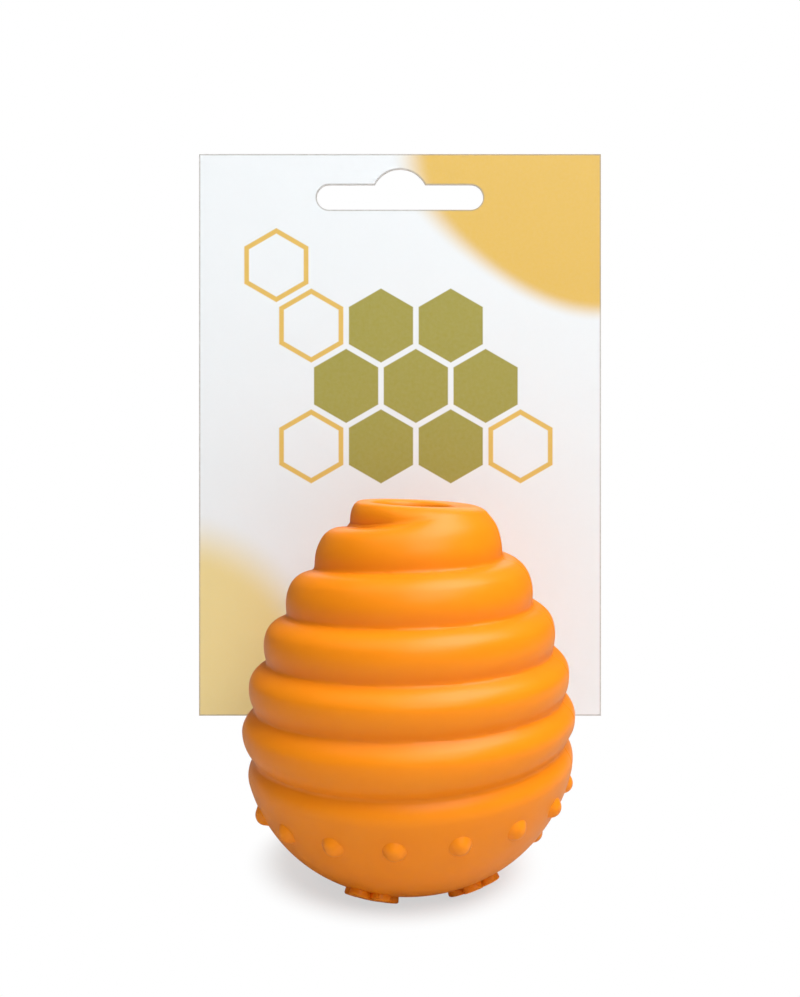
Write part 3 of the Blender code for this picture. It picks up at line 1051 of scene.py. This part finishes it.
    def shell(self) -> bpy.types.Object:
        """The closed wall in one grid: outside, lip, throat and hollow.

        Returns:
            The wall, with the groove's depth as an attribute, which paints shade into the groove.
        """
        angle = self.angles()
        outer, cut = self.outside_rows(angle)
        outer[..., 2] = np.maximum(outer[..., 2], 0.0)
        lip = self.lip_rows(angle, outer[-2:])
        hollow = self.hollow_rows(angle)
        part = np.linspace(0.0, 1.0, self.throat_rings + 2)[1:-1, None, None]
        throat = lip[-1] + (hollow[0] - lip[-1]) * part
        shell = closed_piece(np.concatenate((outer, lip, throat, hollow)), "rubber_toy")
        depth = np.zeros(len(shell.data.vertices))
        depth[:cut.size] = cut.ravel()
        shell.data.attributes.new(GROOVE, "FLOAT", "POINT").data.foreach_set("value", depth)
        return shell

    def nub(self, index: int) -> bpy.types.Object:
        """One ball, most of its lower half sunk in the wall, on the climbing row.

        Near the wall its rings flare out, by a falling exponential of their height.

        Args:
            index: the nub's place in the row, 0 for the one in front.

        Returns:
            The ball.
        """
        angle = self.front_nub + self.nub_spacing * index
        turn = angle / TURN
        height = self.nub_height + self.nub_climb * turn - self.nub_sag_share * self.form.sag(turn)
        place = np.array(self.form.dome_frame(angle, height))
        swing = np.linspace(0.0, math.pi, self.nub_rings + 2)[1:-1, None]
        around = np.linspace(0.0, TURN, self.nub_sides, endpoint=False)
        level = -self.nub_radius * np.cos(swing) - self.nub_sink
        sunk = np.exp(-np.clip(level, 0.0, None) / self.nub_fillet)
        rooted = smooth_step((level + self.nub_root) / self.nub_root_span)
        reach = self.nub_radius * np.sin(swing) + self.nub_flare * sunk * rooted
        local = np.empty((self.nub_rings, self.nub_sides, 3))
        local[..., 0] = reach * np.cos(around)
        local[..., 1] = reach * np.sin(around)
        local[..., 2] = level
        return closed_piece(local @ place[:3, :3].T + place[:3, 3], "nub")

    def pad(self, index: int) -> bpy.types.Object:
        """One flower pad that follows the dome.

        In its own plane the outline's radius dips between the petals as a power of one
        less the size of a cosine, and every other pad is turned by half a petal. Every
        ring is laid on the dome, then lifted straight out: the root rings stay in the
        wall, the rim rings round over, and the top has a crease below each dip.

        Args:
            index: the pad's place in its ring.

        Returns:
            The pad.
        """
        angle = self.first_pad + TURN * index / self.pad_count
        place = np.array(self.form.dome_frame(angle, self.form.dome_height(self.pad_ring)))
        around = np.linspace(0.0, TURN, self.pad_sides, endpoint=False)
        half_petal = math.pi / self.petals * ((index + 1) % 2)
        petal = np.abs(np.cos(0.5 * self.petals * (around - half_petal)))
        dip = (1.0 - petal) ** self.dip_power
        outline = self.pad_radius - self.petal_dip * dip
        swing = np.linspace(0.0, 0.5 * math.pi, self.rim_rings)[:, None]
        shrink = np.linspace(1.0, self.pad_middle, self.pad_rings + 1)[:, None]
        fade = smooth_step((shrink[1:] - self.crease_start) / self.crease_span)
        root = shrink[::-1] * outline
        rim = outline - self.pad_round * (1.0 - np.cos(swing))
        top = (outline - self.pad_round) * shrink[1:]
        reach = np.concatenate((root, rim, top))
        rim_rise = self.pad_proud - self.pad_round * (1.0 - np.sin(swing))
        lift = np.concatenate((np.full(root.shape, -self.pad_root), rim_rise + np.zeros(rim.shape),
                               self.pad_proud - self.pad_crease * dip * fade))
        local = np.stack((reach * np.cos(around), reach * np.sin(around), np.zeros_like(reach)), -1)
        flat = local @ place[:3, :3].T + place[:3, 3]
        away = flat - self.form.axis_shift(flat[..., 2])
        bearing = np.arctan2(away[..., 0], -away[..., 1])
        distance = np.clip(np.hypot(away[..., 0], away[..., 1]), 0.0, self.pad_limit)
        level = self.form.dome_height(distance)
        points = self.form.outside(bearing, np.maximum(level, 0.0), lift)
        points[..., 2] = np.maximum(points[..., 2], 0.0)
        return closed_piece(points, "pad")

    def build(self, finish: RubberFinish, pin: "TagPin") -> bpy.types.Object:
        """Join the nubs and pads to the shell and open the hole that the pin runs through.

        Args:
            finish: the rubber's finish.
            pin: the tag pin, which gives the hole its place.

        Returns:
            The finished toy.
        """
        toy = self.shell()
        first_nub = self.last_nub + 1 - self.nub_count
        nubs = [self.nub(index) for index in range(first_nub, self.last_nub + 1)]
        pads = [self.pad(index) for index in range(self.pad_count)]
        combine(toy, nubs + pads, "UNION")
        combine(toy, [pin.hole()], "DIFFERENCE")
        weld(toy, self.weld_distance)
        coat(toy, finish.material())
        toy.data.set_sharp_from_angle(angle=self.sharp_angle)
        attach(toy, Body.TOY.value)
        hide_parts(Node.RUBBER.value)
        return toy


# Tag pin


@dataclass
class TagPin:
    """Nylon filament with a cross bar at each end, inside the box of its solid."""

    filament: float = 0.00046
    bar: float = 0.00060
    swell: float = 0.00010
    swell_reach: float = 0.0005
    thread_rings: int = 30
    hole_radius: float = 0.00056
    hole_overhang: float = 0.004
    low: Vector = field(init=False)
    high: Vector = field(init=False)

    def __post_init__(self) -> None:
        """Read the pin's place from its solid."""
        self.low, self.high = (Vector(corner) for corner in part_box(Node.PIN.value))

    @property
    def level(self) -> float:
        """Height of the filament."""
        return 0.5 * (self.low.z + self.high.z)

    def hole(self) -> bpy.types.Object:
        """The round cutter for the pin's hole in the rubber."""
        start = Vector((0.0, self.low.y - self.hole_overhang, self.level))
        end = Vector((0.0, self.high.y + self.hole_overhang, self.level))
        return capsule(start, end, self.hole_radius, "pin_hole")

    def build(self, finish: NylonFinish) -> bpy.types.Object:
        """Two bars and the filament between them, joined into one.

        The filament swells towards the bars, by a falling exponential of the distance.

        Args:
            finish: the nylon's finish.

        Returns:
            The finished pin.
        """
        inner = self.low.y + self.bar
        outer = self.high.y - self.bar
        pin, bar = (capsule(Vector((0.0, depth, self.low.z)), Vector((0.0, depth, self.high.z)),
                            self.bar, name)
                    for depth, name in ((inner, "tag_pin"), (outer, "outer_bar")))
        travel = np.linspace(inner, outer, self.thread_rings)
        near = np.exp(-np.minimum(travel - inner, outer - travel) / self.swell_reach)
        path = np.stack((np.zeros_like(travel), travel, np.full_like(travel, self.level)), axis=1)
        thread = closed_piece(swept_tube(path, self.filament + self.swell * near), "filament")
        combine(pin, [bar, thread], "UNION")
        coat(pin, finish.material())
        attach(pin, Body.TOY.value)
        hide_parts(Node.PIN.value)
        return pin


# Hang card


@dataclass
class HangCard:
    """The flat card, whose solid is right as it is and only gets its print."""

    mirrored: bool = False

    def dress(self, finish: BoardPrint) -> bpy.types.Object:
        """Put the print on the card's solid.

        Args:
            finish: the print and the board.

        Returns:
            The card's object.
        """
        card = bpy.data.objects[Node.CARD.value]
        box = tuple(Vector(corner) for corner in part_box(Node.CARD.value))
        material = finish.material(box)
        for holder in card.material_slots:
            holder.material = material
        if not card.material_slots:
            card.data.materials.append(material)
        card.visible_glossy = self.mirrored
        LOG.info("%s: printed", card.name)
        return card


# Studio


@dataclass(frozen=True)
class Lamp:
    """A square soft box, one metre from the toy's middle and turned to it.

    Its bearing is in degrees from the front towards +X, its rise in degrees over the
    floor, its power in watts and its side in metres.
    """

    name: str
    bearing: float
    rise: float
    power: float
    side: float = 0.7

    def add(self, target: Vector) -> bpy.types.Object:
        """Hang the lamp.

        Args:
            target: the toy's middle.

        Returns:
            The lamp's object.
        """
        data = bpy.data.lights.new(self.name, "AREA")
        data.size = self.side
        data.energy = self.power
        lamp = bpy.data.objects.new(self.name, data)
        turn, lift = math.radians(self.bearing), math.radians(self.rise)
        outward = Vector((math.sin(turn) * math.cos(lift), -math.cos(turn) * math.cos(lift),
                          math.sin(lift)))
        lamp.location = target + outward
        lamp.rotation_euler = outward.to_track_quat("Z", "Y").to_euler()
        bpy.context.scene.collection.objects.link(lamp)
        return lamp


@dataclass
class Studio:
    """Pale floor, soft lamps, white surroundings and the camera."""

    focal_px: float = 900.0
    frame_px: tuple[int, int] = (800, 997)
    horizon_px: float = 467.0
    camera: tuple[float, float, float] = (-0.0011, -0.1919, 0.08685)
    sensor: float = 36.0
    clip: tuple[float, float] = (0.01, 50.0)
    target: tuple[float, float, float] = (0.0, 0.0, 0.05)
    lamps: tuple[Lamp, ...] = (
        Lamp("front_lamp", 20.0, 45.0, 5.4),
        Lamp("side_lamp", 70.0, 66.0, 10.8),
        Lamp("left_lamp", -50.0, 62.0, 1.6),
        Lamp("back_lamp", 180.0, 35.0, 1.9),
    )
    card_lamp: Lamp = Lamp("card_lamp", -60.0, 20.0, 2.2)
    white: Color = (1.0, 1.0, 1.0)
    fill: float = 0.10
    floor_reach: float = 12.0
    floor_color: Color = (0.70, 0.70, 0.70)
    floor_speck: Color = (0.67, 0.67, 0.67)
    mirrored_floor: Color = (0.38, 0.38, 0.38)
    floor_grain: float = 0.004
    grain_share: float = 0.05
    floor_roughness: float = 0.75
    grain_roughness: float = 0.1
    floor_specular: float = 0.2
    shadow_place: tuple[float, float] = (-0.002, 0.010)
    shadow_reach: float = 0.0285
    shadow_blur: float = 0.011
    shadow_share: float = 0.40

    def add_camera(self) -> None:
        """A level camera whose shift puts the horizon where the photograph has it."""
        data = bpy.data.cameras.new("camera")
        data.sensor_width = self.sensor
        data.lens = self.focal_px / self.frame_px[1] * data.sensor_width
        data.shift_y = (self.horizon_px - 0.5 * self.frame_px[1]) / self.frame_px[1]
        data.clip_start, data.clip_end = self.clip
        camera = bpy.data.objects.new("camera", data)
        camera.location = self.camera
        camera.rotation_euler = (0.5 * math.pi, 0.0, 0.0)
        bpy.context.scene.collection.objects.link(camera)
        bpy.context.scene.camera = camera

    def add_lamps(self) -> None:
        """Hang the lamps, and one that lights and shades only the card, for an even print."""
        target = Vector(self.target)
        for lamp in self.lamps:
            lamp.add(target)
        group = bpy.data.collections.new("card_only")
        group.objects.link(bpy.data.objects[Node.CARD.value])
        linking = self.card_lamp.add(target).light_linking
        linking.receiver_collection = group
        linking.blocker_collection = group

    def add_world(self) -> None:
        """Even light all round, plain white where it is seen."""
        bpy.context.scene.world = bpy.data.worlds.new("surroundings")
        bench = Bench(bpy.context.scene.world, "Background")
        strength = bench.add("ShaderNodeMapRange", None,
                             {"Value": bench.seen(), "To Min": self.fill, "To Max": 1.0})
        bench.finish(Color=self.white, Strength=strength.outputs["Result"])

    def add_floor(self) -> None:
        """A wide floor that takes the shadow near the toy and is plain white further out.

        It is grey in reflections, as the photograph's rubber mirrors no white floor.
        """
        corners = [(right * self.floor_reach, back * self.floor_reach, 0.0)
                   for right, back in ((-1, -1), (1, -1), (1, 1), (-1, 1))]
        mesh = bpy.data.meshes.new("floor")
        mesh.from_pydata(corners, [], [(0, 1, 2, 3)])
        floor = bpy.data.objects.new("floor", mesh)
        bpy.context.scene.collection.objects.link(floor)
        bench = Bench(bpy.data.materials.new("pale_floor"))
        across, deep, _ = bench.axes()
        away = span(across - self.shadow_place[0], deep - self.shadow_place[1])
        near = away.below(self.shadow_reach, self.shadow_blur) * self.shadow_share
        grain = bench.noise(self.floor_grain)
        lit = bench.mix(grain * self.grain_share, self.floor_color, self.floor_speck)
        bench.finish(Base_Color=bench.mix(bench.ray("Is Glossy Ray"), lit, self.mirrored_floor),
                     Roughness=self.floor_roughness + (grain - 0.5) * self.grain_roughness,
                     Specular_IOR_Level=self.floor_specular)
        white = bench.add("ShaderNodeEmission", None, {"Color": self.white})
        blend = bench.add("ShaderNodeMixShader", None,
                          {0: bench.seen() * (1.0 - near), 1: bench.shader.outputs[0],
                           2: white.outputs[0]})
        bench.feed(bench.tree.nodes["Material Output"].inputs["Surface"], blend.outputs[0])
        mesh.materials.append(bench.owner)

    def build(self) -> None:
        """Set the whole studio up."""
        self.add_camera()
        self.add_lamps()
        self.add_world()
        self.add_floor()
        bpy.context.scene.view_settings.view_transform = "Standard"


def main() -> None:
    """Build every piece in order."""
    logging.basicConfig(level=logging.INFO, format="%(name)s %(message)s")
    Studio().build()
    pin = TagPin()
    RubberToy().build(RubberFinish(), pin)
    pin.build(NylonFinish())
    HangCard().dress(BoardPrint())


if __name__ == "__main__":
    main()
